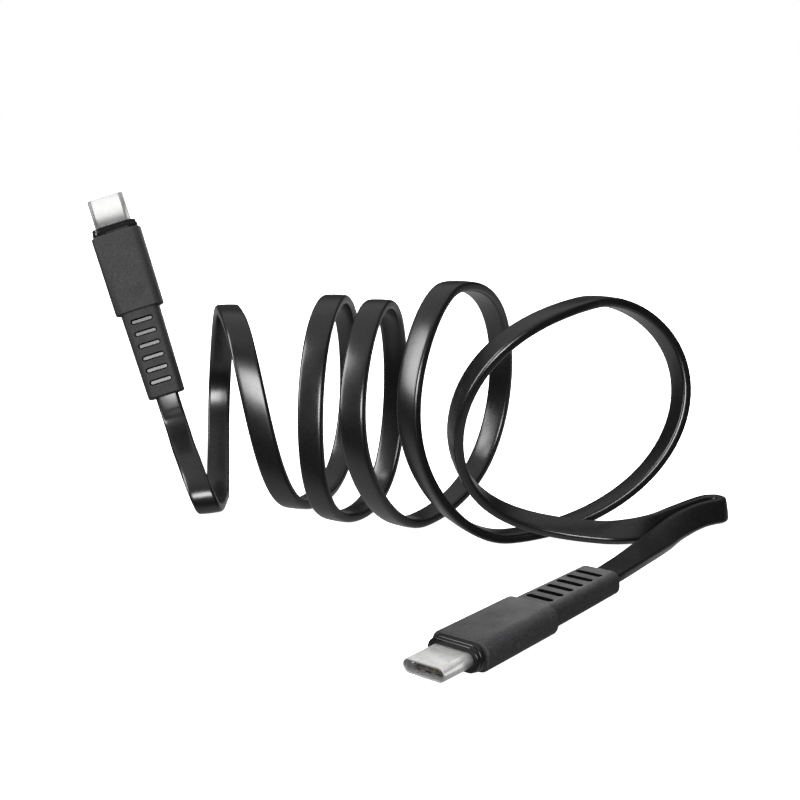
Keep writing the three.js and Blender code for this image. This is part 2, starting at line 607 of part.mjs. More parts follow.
// Five open turns that stand on the floor. A bottom is [x, y, heading in degrees] and a top has its
// height after them. A half turn has [reach, skew, lean]: how far it stands out half-way up, how much
// it is thrown up below its middle and down above it, and how far its heading swings.
const BOTTOMS = [
  [-24.2, 42, 97],
  [-1.7, 41.5, 72],
  [6.8, 28, 61],
  [20.3, 23, 54],
  [37.8, 12, 16],
  [56.8, 9, -11],
];
const TOPS = [
  [-20.7, 41.5, 102, 42.5],
  [2.3, 34, 83, 45.5],
  [11.8, 22.5, 77, 46],
  [26.3, 14.5, 64, 50.5],
  [52.2, 9, 54, 48.3],
];
const RISES = [
  [22.5, 2.5, 0],
  [21.5, -1, 0],
  [16.5, -2, 0],
  [29, -1.5, 0],
  [29.8, -0.5, -14],
];
const FALLS = [
  [20, 4.5, 0],
  [19, 2, 0],
  [20.5, -1.5, 0],
  [19, -1.5, 3],
  [29.4, 2, -3],
];
const LAST_ROLL = 32; // degrees by which the ribbon leans over at the last bottom
const LAST_LIFT = 0.5; // how high it is held there, over the bottom before it

function heading(degrees) {
  const angle = THREE.MathUtils.degToRad(degrees);
  return new THREE.Vector3(Math.cos(angle), Math.sin(angle), 0);
}

// The ribbon's width direction where it runs along a level heading and leans by `roll` radians.
function acrossAt(degrees, roll = 0) {
  const level = new THREE.Vector3().crossVectors(heading(degrees), UP);
  return level.multiplyScalar(Math.cos(roll)).addScaledVector(UP, -Math.sin(roll));
}

// One half turn from station `from` to station `to`: direction 1 climbs behind, -1 falls in front.
function halfTurn(from, to, [reach, skew, lean], direction, lastRoll) {
  const places = [];
  for (let step = 1; step <= HALF_TURN_STEPS; step += 1) {
    const angle = Math.PI * step / HALF_TURN_STEPS;
    const along = (1 - Math.cos(angle)) / 2;
    const degrees = THREE.MathUtils.lerp(from.degrees, to.degrees, step / HALF_TURN_STEPS)
      + lean * Math.sin(angle);
    const point = from.point.clone().lerp(to.point, along);
    point.addScaledVector(heading(degrees), direction * reach * Math.sin(angle));
    point.z += skew * Math.sin(2 * angle) * Math.sin(angle);
    places.push({ point, across: acrossAt(degrees, lastRoll * (step / HALF_TURN_STEPS) ** 2) });
  }
  return places;
}

function station([x, y, degrees, z]) {
  return { point: new THREE.Vector3(x, y, z), degrees };
}

// The five turns' places in order, from the first bottom to the last.
function coil() {
  const roll = THREE.MathUtils.degToRad(LAST_ROLL);
  const level = CABLE_THICKNESS / 2;
  const leaning = LAST_LIFT + level * Math.cos(roll) + CABLE_WIDTH / 2 * Math.sin(roll);
  const bottoms = BOTTOMS.map(([x, y, degrees], index) => (
    station([x, y, degrees, index === TOPS.length ? leaning : level])
  ));
  const tops = TOPS.map(station);
  const places = [{ point: bottoms[0].point, across: acrossAt(bottoms[0].degrees) }];
  tops.forEach((top, index) => {
    const lastRoll = index === TOPS.length - 1 ? roll : 0;
    places.push(...halfTurn(bottoms[index], top, RISES[index], 1, 0));
    places.push(...halfTurn(top, bottoms[index + 1], FALLS[index], -1, lastRoll));
  });
  return places;
}

// Every place on the cable, from inside plug A's strain relief to inside plug B's. The coil's places
// become rings as they are, and the spans before and after it are divided on one smooth curve.
function cablePlaces() {
  const from = PLACE_A.tail.clone().addScaledVector(PLACE_A.axis, -CABLE_END_SETBACK);
  const outOfA = PLACE_A.tail.clone().addScaledVector(PLACE_A.axis, STRAIGHT);
  const outOfB = PLACE_B.tail.clone().addScaledVector(PLACE_B.axis, STRAIGHT);
  const to = PLACE_B.tail.clone().addScaledVector(PLACE_B.axis, -CABLE_END_SETBACK);
  const turns = coil();
  const leadIn = LEAD_IN.map((point) => new THREE.Vector3(...point));
  const leadOut = LEAD_OUT.map(([x, y, z]) => new THREE.Vector3(x, y, z));
  const points = [outOfA, ...leadIn, ...turns.map((place) => place.point), ...leadOut, outOfB];
  const curve = new THREE.CatmullRomCurve3(points, false, 'centripetal');
  const firstTurn = 1 + leadIn.length;
  const lastTurn = firstTurn + turns.length - 1;
  const rolls = [LAST_ROLL, ...LEAD_OUT.map((place) => place[3]), 180];
  const places = [{ point: from, tangent: PLACE_A.axis, across: PLACE_A.across }];
  for (let index = 0; index < points.length; index += 1) {
    const inTurns = index >= firstTurn && index < lastTurn;
    const steps = inTurns || index === points.length - 1 ? 1 : SPAN_STEPS;
    for (let step = 0; step < steps; step += 1) {
      const place = index + step / steps;
      const tangent = curve.getTangent(place / (points.length - 1));
      const point = curve.getPoint(place / (points.length - 1));
      const across = acrossOnRoute(place, tangent, firstTurn, lastTurn, turns, rolls);
      places.push({ point, tangent, across });
    }
  }
  places[1].tangent = PLACE_A.axis;
  places.at(-1).tangent = PLACE_B.axis.clone().negate();
  places.push({ point: to, tangent: places.at(-1).tangent, across: places.at(-1).across });
  return places;
}

// The width direction at a place: turned from plug A's before the coil, rolled over after it.
function acrossOnRoute(place, tangent, firstTurn, lastTurn, turns, rolls) {
  if (place < firstTurn) {
    return PLACE_A.across.clone().lerp(turns[0].across, place / firstTurn);
  }
  if (place <= lastTurn) {
    return turns[Math.round(place - firstTurn)].across;
  }
  const index = Math.min(Math.floor(place - lastTurn), rolls.length - 2);
  const roll = THREE.MathUtils.lerp(rolls[index], rolls[index + 1], place - lastTurn - index);
  const degrees = THREE.MathUtils.radToDeg(Math.atan2(tangent.y, tangent.x));
  return acrossAt(degrees, THREE.MathUtils.degToRad(roll));
}

// One ring of the cable's section at a place.
function cableRing({ point, tangent, across }) {
  const forward = tangent.clone().normalize();
  const side = across.clone().addScaledVector(forward, -across.dot(forward)).normalize();
  const face = new THREE.Vector3().crossVectors(forward, side);
  return roundedRing(CABLE_WIDTH, CABLE_THICKNESS, CABLE_EDGE, 1).map((corner) => (
    point.clone().addScaledVector(side, corner.x).addScaledVector(face, corner.y)
  ));
}

// The least distance between two parts of the cable that are further apart along it than `apart`.
function leastGap(rings, places, apart) {
  const along = [0];
  places.forEach(({ point }, index) => {
    if (index) along.push(along[index - 1] + point.distanceTo(places[index - 1].point));
  });
  const samples = [];
  rings.slice(0, -1).forEach((ring, index) => {
    for (let part = 0; part < 1; part += 0.5) {
      const at = THREE.MathUtils.lerp(along[index], along[index + 1], part);
      ring.forEach((corner, side) => samples.push([corner.clone().lerp(rings[index + 1][side], part), at]));
    }
  });
  let least = Infinity;
  samples.forEach(([corner, at], index) => {
    for (let other = index + 1; other < samples.length; other += 1) {
      if (samples[other][1] - at > apart) least = Math.min(least, corner.distanceTo(samples[other][0]));
    }
  });
  return { least, length: along.at(-1) };
}

// ---------------------------------------------------------------- assembly

function named(name, geometry, material) {
  const mesh = new THREE.Mesh(geometry, material);
  mesh.name = name;
  return mesh;
}

const cable = new THREE.Group();
cable.name = 'charging_cable';

for (const [prefix, place] of [['plug_a', PLACE_A], ['plug_b', PLACE_B]]) {
  const matrix = plugMatrix(place);
  plugPieces().forEach(([name, geometry, material]) => {
    cable.add(named(`${prefix}_${name}`, geometry.applyMatrix4(matrix), material.clone()));
  });
}

const places = cablePlaces();
const rings = places.map(cableRing);
cable.add(named('cable_jacket', skin(rings), FINISHES.jacket.clone()));

const { least, length } = leastGap(rings, places, SAME_STRETCH);
const lowest = Math.min(...rings.flat().map((corner) => corner.z));
console.error(`cable: ${length.toFixed(1)} mm between the plugs, least gap to itself `
  + `${least.toFixed(2)} mm, lowest point ${lowest.toFixed(2)} mm`);

export default cable;
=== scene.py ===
"""The looks of a flat charging cable: the jacket, the plugs' visible pieces, materials, light and camera."""

import json
import math

import bmesh
import bpy
from mathutils import Matrix, Vector


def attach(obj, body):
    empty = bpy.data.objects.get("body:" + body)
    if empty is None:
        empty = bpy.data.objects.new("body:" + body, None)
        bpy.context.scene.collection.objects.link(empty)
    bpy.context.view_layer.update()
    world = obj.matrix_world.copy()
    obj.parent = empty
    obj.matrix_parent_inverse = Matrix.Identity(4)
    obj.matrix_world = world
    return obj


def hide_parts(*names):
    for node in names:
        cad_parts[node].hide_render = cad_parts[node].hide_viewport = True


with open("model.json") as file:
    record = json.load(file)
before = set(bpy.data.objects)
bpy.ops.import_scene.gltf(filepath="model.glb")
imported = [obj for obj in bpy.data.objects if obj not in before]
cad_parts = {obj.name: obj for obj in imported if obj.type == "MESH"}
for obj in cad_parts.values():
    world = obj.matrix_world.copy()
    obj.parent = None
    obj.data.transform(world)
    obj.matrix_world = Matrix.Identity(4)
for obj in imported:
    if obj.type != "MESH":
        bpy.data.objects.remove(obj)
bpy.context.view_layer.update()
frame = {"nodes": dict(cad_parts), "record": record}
MM = 0.001

# ---------------------------------------------------------------- camera

CAMERA_PLACE = (16.3, -235.0, 79.86)  # millimetres
CAMERA_PITCH = 11.915  # degrees below the horizon
CAMERA_LENS = 58.2  # millimetres
CAMERA_SENSOR = 36.0  # millimetres
CAMERA_SHIFT = 0.0062
CAMERA_NEAR = 0.01  # metres


def add_camera():
    """The photo's view of the cable."""
    data = bpy.data.cameras.new("camera")
    data.lens = CAMERA_LENS
    data.sensor_width = CAMERA_SENSOR
    data.shift_y = CAMERA_SHIFT
    data.clip_start = CAMERA_NEAR
    camera = bpy.data.objects.new("camera", data)
    camera.location = Vector(CAMERA_PLACE) * MM
    camera.rotation_euler = (math.radians(90.0 - CAMERA_PITCH), 0.0, 0.0)
    bpy.context.scene.collection.objects.link(camera)
    bpy.context.scene.camera = camera


# ---------------------------------------------------------------- the cable's route, as in the part (mm)

PLUG_LENGTH = 46.6
# A plug's tail is where the cable leaves it; its heading, pitch and roll are in degrees.
PLUG_A = {"tail": (-35.7, 48, 22.3), "heading": -35.5, "pitch": -68.1, "roll": 52.4}
PLUG_B = {"tail": (51, -22.3, 4.25), "heading": 47.8, "pitch": 2.4, "roll": -2}

CABLE_WIDTH = 5.1
CABLE_THICKNESS = 2.05
CABLE_EDGE = 0.6  # rounding of its edges
CABLE_CROWN = 0.12  # how much thinner it is at its edges, as a share
CROWN_STEPS = 8
CABLE_END_SETBACK = 1.2  # how far the ribbon reaches into each strain relief
STRAIGHT = 3.0  # its straight stretch out of each plug
SECTION_STEPS = 5  # steps round each edge of the ribbon
HALF_TURN_STEPS = 12  # places in half a turn, as in the part
FINE_STEPS = 48  # rings in half a turn of the visible jacket
SPAN_STEPS = 6  # rings in a span between two listed points

LEAD_IN = [  # x, y, z
    (-33.65, 45.9, 16.8),
    (-32.2, 42.3, 14.7),
    (-30.6, 37.2, 13.2),
    (-28.7, 32.2, 11.3),
    (-26.8, 28.2, 8.5),
    (-25.1, 26.1, 5.3),
    (-24.1, 26.9, 2.6),
    (-23.8, 30.4, 1.5),
    (-23.9, 35, 1.3),
    (-24.1, 39.6, 1.17),
]
LEAD_OUT = [  # x, y, z, roll in degrees
    (62.9, 10, 2.8, 48),
    (67.6, 13, 2.9, 72),
    (71.5, 17.7, 2.8, 86),
    (75.2, 22, 2.7, 90),
    (78.2, 25, 2.7, 90),
    (80.6, 26.7, 2.75, 91),
    (82.7, 26.8, 2.8, 94),
    (83.7, 25, 2.9, 98),
    (82.8, 23.1, 3, 103),
    (80.7, 21.5, 3.1, 109),
    (77.9, 19.1, 3.2, 117),
    (74.3, 15, 3.2, 128),
    (70.2, 9.2, 3.25, 141),
    (66.4, 2.4, 3.4, 154),
    (62.8, -4.2, 3.8, 165),
    (59.4, -10.1, 4.15, 173),
    (56.6, -14.6, 4.25, 177),
]
BOTTOMS = [  # x, y, heading in degrees
    (-24.2, 42, 97), (-1.7, 41.5, 72), (6.8, 28, 61), (20.3, 23, 54), (37.8, 12, 16), (56.8, 9, -11),
]
TOPS = [  # x, y, heading in degrees, z
    (-20.7, 41.5, 102, 42.5), (2.3, 34, 83, 45.5), (11.8, 22.5, 77, 46),
    (26.3, 14.5, 64, 50.5), (52.2, 9, 54, 48.3),
]
# From a bottom to a top, and from a top to a bottom: reach and skew in mm, lean in degrees.
RISES = [(22.5, 2.5, 0), (21.5, -1, 0), (16.5, -2, 0), (29, -1.5, 0), (29.8, -0.5, -14)]
FALLS = [(20, 4.5, 0), (19, 2, 0), (20.5, -1.5, 0), (19, -1.5, 3), (29.4, 2, -3)]
LAST_ROLL = 32  # degrees, at the last bottom
LAST_LIFT = 0.5  # its lower edge is this far above the floor
END_ROLL = 180  # degrees, at plug B
NUDGE = 0.01  # of a span, for finding the route's heading
UP = Vector((0, 0, 1))
HAIR = 1e-4  # keeps a length from being nothing


def heading(degrees):
    """A level direction, in degrees anticlockwise from x."""
    angle = math.radians(degrees)
    return Vector((math.cos(angle), math.sin(angle), 0))


def across_at(degrees, roll=0.0):
    """The ribbon's width direction on a level heading, leaning by roll radians."""
    return heading(degrees).cross(UP) * math.cos(roll) - UP * math.sin(roll)


def plug_place(plug):
    """A plug's axis from nose to cable, its width direction and the point where its cable leaves it."""
    turn, rise = math.radians(plug["heading"]), math.radians(plug["pitch"])
    axis = Vector((math.cos(rise) * math.cos(turn), math.cos(rise) * math.sin(turn), math.sin(rise)))
    level = Vector((-math.sin(turn), math.cos(turn), 0))
    across = Matrix.Rotation(math.radians(plug["roll"]), 3, axis) @ level
    return axis, across, Vector(plug["tail"])


def plug_matrix(plug):
    """From the plug's own frame in mm (x width, y thickness, z from the mouth) to the row frame in mm."""
    axis, across, tail = plug_place(plug)
    turn = Matrix((across, axis.cross(across), axis)).transposed().to_4x4()
    return Matrix.Translation(tail - axis * PLUG_LENGTH) @ turn


def half_turn(start, stop, shape, direction, last_roll, steps):
    """One half turn's places; direction 1 climbs behind and -1 falls in front."""
    (start_point, start_degrees), (stop_point, stop_degrees) = start, stop
    reach, skew, lean = shape
    places = []
    for step in range(1, steps + 1):
        angle = math.pi * step / steps  # from 0 at the start to a half turn at the stop
        degrees = start_degrees + (stop_degrees - start_degrees) * step / steps + lean * math.sin(angle)
        point = start_point.lerp(stop_point, (1 - math.cos(angle)) / 2)
        point += heading(degrees) * direction * reach * math.sin(angle)
        point.z += skew * math.sin(2 * angle) * math.sin(angle)
        places.append((point, across_at(degrees, last_roll * (step / steps) ** 2)))
    return places


def coil(steps):
    """The five turns' places, from the first bottom to the last."""
    roll = math.radians(LAST_ROLL)
    level = CABLE_THICKNESS / 2
    leaning = LAST_LIFT + level * math.cos(roll) + CABLE_WIDTH / 2 * math.sin(roll)
    bottoms = [(Vector((x, y, leaning if index == len(TOPS) else level)), degrees)
               for index, (x, y, degrees) in enumerate(BOTTOMS)]
    tops = [(Vector((x, y, z)), degrees) for x, y, degrees, z in TOPS]
    places = [(bottoms[0][0], across_at(bottoms[0][1]))]
    for index, top in enumerate(tops):
        last_roll = roll if index == len(tops) - 1 else 0.0
        places += half_turn(bottoms[index], top, RISES[index], 1, 0.0, steps)
        places += half_turn(top, bottoms[index + 1], FALLS[index], -1, last_roll, steps)
    return places


def catmull_rom(points, place):
    """A centripetal Catmull-Rom curve through the points, at a place counted in spans."""
    index = min(int(place), len(points) - 2)
    weight = place - index
    p1, p2 = points[index], points[index + 1]
    p0 = points[index - 1] if index else p1 * 2 - p2
    p3 = points[index + 2] if index + 2 < len(points) else p2 * 2 - p1
    d0, d1, d2 = (max((b - a).length, HAIR) ** 0.5 for a, b in ((p0, p1), (p1, p2), (p2, p3)))
    t1 = ((p1 - p0) / d0 - (p2 - p0) / (d0 + d1) + (p2 - p1) / d1) * d1
    t2 = ((p2 - p1) / d1 - (p3 - p1) / (d1 + d2) + (p3 - p2) / d2) * d1
    c2 = (p2 - p1) * 3 - t1 * 2 - t2
    c3 = (p1 - p2) * 2 + t1 + t2
    return p1 + t1 * weight + c2 * weight ** 2 + c3 * weight ** 3


def cable_places():
    """Every ring's place on the cable: (point, width direction), from plug A to plug B, in mm."""
    axis_a, across_a, tail_a = plug_place(PLUG_A)
    axis_b, across_b, tail_b = plug_place(PLUG_B)
    coarse = coil(HALF_TURN_STEPS)
    lead_in = [Vector(point) for point in LEAD_IN]
    lead_out = [Vector(place[:3]) for place in LEAD_OUT]
    points = [tail_a + axis_a * STRAIGHT, *lead_in, *(point for point, _ in coarse), *lead_out,
              tail_b + axis_b * STRAIGHT]
    first, last = 1 + len(lead_in), len(lead_in) + len(coarse)
    places = [(tail_a - axis_a * CABLE_END_SETBACK, across_a), (tail_a, across_a)]
    for step in range(first * SPAN_STEPS):
        place = step / SPAN_STEPS
        places.append((catmull_rom(points, place), across_a.lerp(coarse[0][1], place / first)))
    places += coil(FINE_STEPS)
    rolls = [LAST_ROLL, *(place[3] for place in LEAD_OUT), END_ROLL]
    for step in range(1, (len(points) - 1 - last) * SPAN_STEPS + 1):
        place = step / SPAN_STEPS
        index = min(int(place), len(rolls) - 2)
        roll = rolls[index] + (rolls[index + 1] - rolls[index]) * (place - index)
        point = catmull_rom(points, last + place)
        ahead = catmull_rom(points, min(last + place + NUDGE, len(points) - 1))
        behind = catmull_rom(points, last + place - NUDGE)
        forward = ahead - behind
        degrees = math.degrees(math.atan2(forward.y, forward.x))
        places.append((point, across_at(degrees, math.radians(roll))))
    places += [(tail_b, -across_b), (tail_b - axis_b * CABLE_END_SETBACK, -across_b)]
    return places


# ---------------------------------------------------------------- mesh helpers

def rounded_ring(width, thickness, corner, steps):
    """A rounded rectangle as (x, y) points, anticlockwise."""
    radius = min(corner, width / 2, thickness / 2) - HAIR
    ring = []
    for quarter in range(4):
        sign_x = 1 if quarter in (0, 3) else -1
        sign_y = 1 if quarter < 2 else -1
        for step in range(steps + 1):
            angle = (quarter + step / steps) * math.pi / 2
            ring.append((sign_x * (width / 2 - radius) + radius * math.cos(angle),
                         sign_y * (thickness / 2 - radius) + radius * math.sin(angle)))
    return ring


def add_object(name, mesh, material):
    """A smooth-shaded object in the scene."""
    obj = bpy.data.objects.new(name, mesh)
    bpy.context.scene.collection.objects.link(obj)
    mesh.materials.append(material)
    mesh.shade_smooth()
    return obj


def skin(name, rings, material, looped=False):
    """A mesh in metres through rings of points in mm; looped joins the last ring to the first."""
    sides = len(rings[0])
    vertices = [point * MM for ring in rings for point in ring]
    count = len(rings)
    faces = []
    for row in range(count if looped else count - 1):
        for side in range(sides):
            after = (side + 1) % sides
            up = (row + 1) % count
            faces.append((row * sides + side, row * sides + after, up * sides + after, up * sides + side))
    if not looped:
        faces.append(tuple(reversed(range(sides))))
        faces.append(tuple(range((count - 1) * sides, count * sides)))
    mesh = bpy.data.meshes.new(name)
    mesh.from_pydata(vertices, [], faces)
    mesh.validate()
    return add_object(name, mesh, material)


def bevel(obj, width, angle=35.0, segments=1):
    """Takes the piece's edges off, where they are sharper than angle degrees; width is in mm."""
    modifier = obj.modifiers.new("bevel", "BEVEL")
    modifier.width = width * MM
    modifier.segments = segments
    modifier.limit_method = "ANGLE"
    modifier.angle_limit = math.radians(angle)
    modifier.harden_normals = True


def turned_profile(name, profile, matrix, material, steps):
    """A closed skin through rounded rectangles (z, width, thickness, corner) in a plug's frame, in mm."""
    rings = [[matrix @ Vector((x, y, z)) for x, y in rounded_ring(width, thickness, corner, steps)]
             for z, width, thickness, corner in profile]
    return skin(name, rings, material, looped=True)


# ---------------------------------------------------------------- materials

NOISE_DETAIL = 3.0
NOISE_LOW = 0.3  # most of a noise's values lie between these two
NOISE_HIGH = 0.7
PATCH = 12  # a moulding's gloss varies over patches this many grains across
METAL_GRAIN = 900.0
METAL_SPREAD = 0.04  # how far a metal's roughness varies


def principled(name, color, roughness, metallic=0.0, ior=1.5):
    """A material, its node tree and its shader, whose sockets hold these values."""
    material = bpy.data.materials.new(name)
    material.use_nodes = True
    shader = material.node_tree.nodes["Principled BSDF"]
    shader.inputs["Base Color"].default_value = (*color, 1.0)
    shader.inputs["Roughness"].default_value = roughness
    shader.inputs["Metallic"].default_value = metallic
    shader.inputs["IOR"].default_value = ior
    return material, material.node_tree, shader


def noise(tree, scale):
    """Noise over the piece itself, with features of about 1/scale metres."""
    coordinates = tree.nodes.new("ShaderNodeTexCoord")
    texture = tree.nodes.new("ShaderNodeTexNoise")
    texture.inputs["Scale"].default_value = scale
    texture.inputs["Detail"].default_value = NOISE_DETAIL
    tree.links.new(coordinates.outputs["Object"], texture.inputs["Vector"])
    return texture.outputs["Fac"]


def spread(tree, value, low, high, target):
    """Maps a noise's value onto low to high and feeds it to a socket."""
    node = tree.nodes.new("ShaderNodeMapRange")
    node.inputs["From Min"].default_value = NOISE_LOW
    node.inputs["From Max"].default_value = NOISE_HIGH
    node.inputs["To Min"].default_value = low
    node.inputs["To Max"].default_value = high
    tree.links.new(value, node.inputs["Value"])
    tree.links.new(node.outputs["Result"], target)


def tint(tree, value, dark, light, target):
    """Mixes two colours by a noise's value and feeds the result to a socket."""
    ramp = tree.nodes.new("ShaderNodeValToRGB")
    ramp.color_ramp.elements[0].position = NOISE_LOW
    ramp.color_ramp.elements[0].color = (*dark, 1.0)
    ramp.color_ramp.elements[1].position = NOISE_HIGH
    ramp.color_ramp.elements[1].color = (*light, 1.0)
    tree.links.new(value, ramp.inputs["Fac"])
    tree.links.new(ramp.outputs["Color"], target)


def bump(tree, shader, value, height, strength):
    """Raises the shader's surface by a value, up to a height in metres."""
    node = tree.nodes.new("ShaderNodeBump")
    node.inputs["Strength"].default_value = strength
    node.inputs["Distance"].default_value = height
    tree.links.new(value, node.inputs["Height"])
    tree.links.new(node.outputs["Normal"], shader.inputs["Normal"])


def moulded(name, dark, light, roughness, grain_scale, grain_height, strength=0.5, spreading=0.06,
            ior=1.45):
    """Moulded plastic or rubber: a fine grain, its height in mm, with colour and gloss varying a little."""
    material, tree, shader = principled(name, light, roughness, ior=ior)
    grain = noise(tree, grain_scale)
    tint(tree, grain, dark, light, shader.inputs["Base Color"])
    spread(tree, noise(tree, grain_scale / PATCH), roughness - spreading, roughness + spreading,
           shader.inputs["Roughness"])
    bump(tree, shader, grain, grain_height * MM, strength)
    return material


def plated(name, dark, light, roughness, metallic=1.0):
    """Metal with a faint variation in its colour and gloss."""
    material, tree, shader = principled(name, light, roughness, metallic=metallic)
    grain = noise(tree, METAL_GRAIN)
    tint(tree, grain, dark, light, shader.inputs["Base Color"])
    spread(tree, grain, roughness - METAL_SPREAD, roughness + METAL_SPREAD, shader.inputs["Roughness"])
    return material


def grey(value):
    return value, value, value


MATERIALS = {  # two colours, roughness, and a moulding's grain: its noise's scale and its height in mm
    "jacket": moulded("jacket_gloss", grey(0.004), grey(0.007), 0.26, 1500.0, 0.004,
                      strength=0.15, spreading=0.03, ior=1.7),
    "sleeve": moulded("sleeve_matte", (0.008, 0.008, 0.009), (0.025, 0.025, 0.026), 0.62, 2800.0, 0.035,
                      strength=0.6, ior=1.42),
    "relief": moulded("relief_matte", (0.007, 0.007, 0.008), (0.021, 0.021, 0.022), 0.6, 2800.0, 0.03,
                      strength=0.55, ior=1.4),
    "collar": moulded("collar_gloss", grey(0.006), grey(0.009), 0.14, 1800.0, 0.003,
                      strength=0.1, spreading=0.02),
    "shell": plated("shell_nickel", (0.77, 0.77, 0.76), (0.80, 0.80, 0.79), 0.3, metallic=0.7),
    "carrier": moulded("carrier_mould", grey(0.10), grey(0.14), 0.45, 2500.0, 0.01),
    "contacts": plated("contact_gold", (0.76, 0.52, 0.18), (0.86, 0.63, 0.26), 0.24),
    "spring_steel": plated("spring_steel", (0.55, 0.55, 0.56), (0.68, 0.68, 0.69), 0.28),
    "cover": plated("cover_steel", (0.50, 0.50, 0.52), (0.66, 0.66, 0.67), 0.34),
    "board": moulded("board_mask", (0.010, 0.085, 0.030), (0.016, 0.120, 0.045), 0.4, 2000.0, 0.006),
    "chip": moulded("chip_body", (0.006, 0.006, 0.007), (0.012, 0.012, 0.013), 0.6, 5000.0, 0.01),
    "wire_red": moulded("wire_red", (0.30, 0.012, 0.010), (0.42, 0.020, 0.015), 0.4, 2500.0, 0.005),
    "wire_black": moulded("wire_black", (0.008, 0.008, 0.009), (0.014, 0.014, 0.015), 0.4, 2500.0, 0.005),
    "wire_blue": moulded("wire_blue", (0.010, 0.055, 0.26), (0.016, 0.080, 0.38), 0.4, 2500.0, 0.005),
    "wire_green": moulded("wire_green", (0.010, 0.14, 0.035), (0.018, 0.21, 0.055), 0.4, 2500.0, 0.005),
    "wire_white": moulded("wire_white", (0.62, 0.62, 0.60), (0.74, 0.74, 0.72), 0.4, 2500.0, 0.005),
}
# Painted shade: a near-black, dull material on the windows' walls and on the jacket round each pad, standing
# in for the shadow in these recesses.
WINDOW_PAINTED_SHADE = moulded("window_painted_shade", grey(0.001), grey(0.003), 0.9, 2500.0, 0.005, ior=1.1)  # round each pad


def dress_cad_nodes():
    """Every carried-over CAD node takes its slot's material."""
    for entry in frame["record"]["subparts"]:
        node = frame["nodes"][entry["node"]]
        node.data.materials.clear()
        node.data.materials.append(MATERIALS[entry["material_slot"]])


# ---------------------------------------------------------------- the cable

def crowned(x, y):
    """A point of the jacket's section, moved in as its faces fall toward their edges."""
    return x, y * (1 - CABLE_CROWN * (2 * x / CABLE_WIDTH) ** 2)


def cable_section():
    """The jacket's outline: its faces are crowned a little over the cores."""
    ring = rounded_ring(CABLE_WIDTH, CABLE_THICKNESS, CABLE_EDGE, SECTION_STEPS)
    outline = [crowned(x, y) for x, y in ring]
    half = CABLE_WIDTH / 2 - CABLE_EDGE
    steps = [half * (1 - 2 * step / CROWN_STEPS) for step in range(1, CROWN_STEPS)]
    top = [crowned(x, CABLE_THICKNESS / 2) for x in steps]
    bottom = [(-x, -y) for x, y in top]
    quarter = len(outline) // 4
    return outline[:quarter] + top + outline[quarter:3 * quarter] + bottom + outline[3 * quarter:]


def add_cable():
    """The flat jacket, from one strain relief to the other."""
    places = cable_places()
    section = cable_section()
    rings = []
    for index, (point, across) in enumerate(places):
        forward = (places[min(index + 1, len(places) - 1)][0] - places[max(index - 1, 0)][0]).normalized()
        side = (across - forward * across.dot(forward)).normalized()
        face = forward.cross(side)
        rings.append([point + side * x + face * y for x, y in section])
    jacket = skin("cable_ribbon", rings, MATERIALS["jacket"])
    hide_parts("cable_jacket")
    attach(jacket, "root")


# ---------------------------------------------------------------- the plugs' visible pieces (mm)

NOSE_WALL = 0.25
NOSE_LIP = 0.12  # rounding of its mouth, inside and out
LIP_STEPS = 4
FIT = 0.05  # clearance between two pieces
COLLAR_STEP_LENGTH = 0.7
COLLAR_SHOULDER_LENGTH = 0.75
COLLAR_EDGE = 0.16  # rounding of its two front edges
COLLAR_STEPS = 3
COLLAR_BEVEL = 0.03
INNER_REAR_WALL = 1.0
SLEEVE_CORNER = 2.1
SLEEVE_ROUNDING = 0.35  # of its front and rear edges
SLEEVE_STEPS = 4
SLEEVE_BEVEL = 0.04
RELIEF_CORNER = 1.5
RELIEF_ROUNDING = 0.5  # of its rear edge
RELIEF_STEPS = 5
RELIEF_BEVEL = 0.1
RELIEF_BEVEL_ANGLE = 40.0
RELIEF_CLEARANCE = 0.12  # round the cable
RELIEF_FLANGE = 1.2
WINDOW_COUNT = 6
WINDOW_PITCH = 2.82
WINDOW_FIRST = 2.4  # from the sleeve's end to its middle
WINDOW_LENGTH = 5.2
WINDOW_WIDTH = 1.25
PILL_STEPS = 8  # steps round each end of a window
CUTTER_HEIGHT = 3.0  # from the plug's middle, past the strain relief's faces
CORE_WIDTH = 5.7  # the jacket's thicker stretch under the windows
CORE_THICKNESS = 2.8
PAD_INSET = 0.3  # the gap round a window's pad
PAD_HEIGHT = 1.72  # from the plug's middle
CORE_EDGE = 0.3
CORE_STEPS = 4  # steps round each of its edges
CORE_REACH = 0.9  # past the first and the last window


class Plug:
    """One plug's frame, and its CAD nodes' sizes in that frame."""

    def __init__(self, prefix, place):
        self.prefix = prefix
        self.matrix = plug_matrix(place)
        self.inverse = self.matrix.inverted()

    def points(self, piece):
        """The CAD node's vertices in the plug's frame."""
        node = frame["nodes"][f"{self.prefix}_{piece}"]
        return [self.inverse @ (node.matrix_world @ vertex.co / MM) for vertex in node.data.vertices]

    def span(self, piece):
        """Where the piece starts and ends along the plug."""
        places = [point.z for point in self.points(piece)]
        return min(places), max(places)

    def size(self, piece, start=-math.inf, stop=math.inf):
        """The piece's width and thickness, over a stretch of it."""
        points = [point for point in self.points(piece) if start <= point.z <= stop]
        return 2 * max(abs(point.x) for point in points), 2 * max(abs(point.y) for point in points)

    def add(self, piece, obj, slot):
        """Puts the object in the CAD node's place."""
        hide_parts(f"{self.prefix}_{piece}")
        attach(obj, "root")


def quarter_steps(count):
    """(inward, forward) fractions of a quarter round, from its side to its front."""
    return [(1 - math.cos(step / count * math.pi / 2), math.sin(step / count * math.pi / 2))
            for step in range(count + 1)]


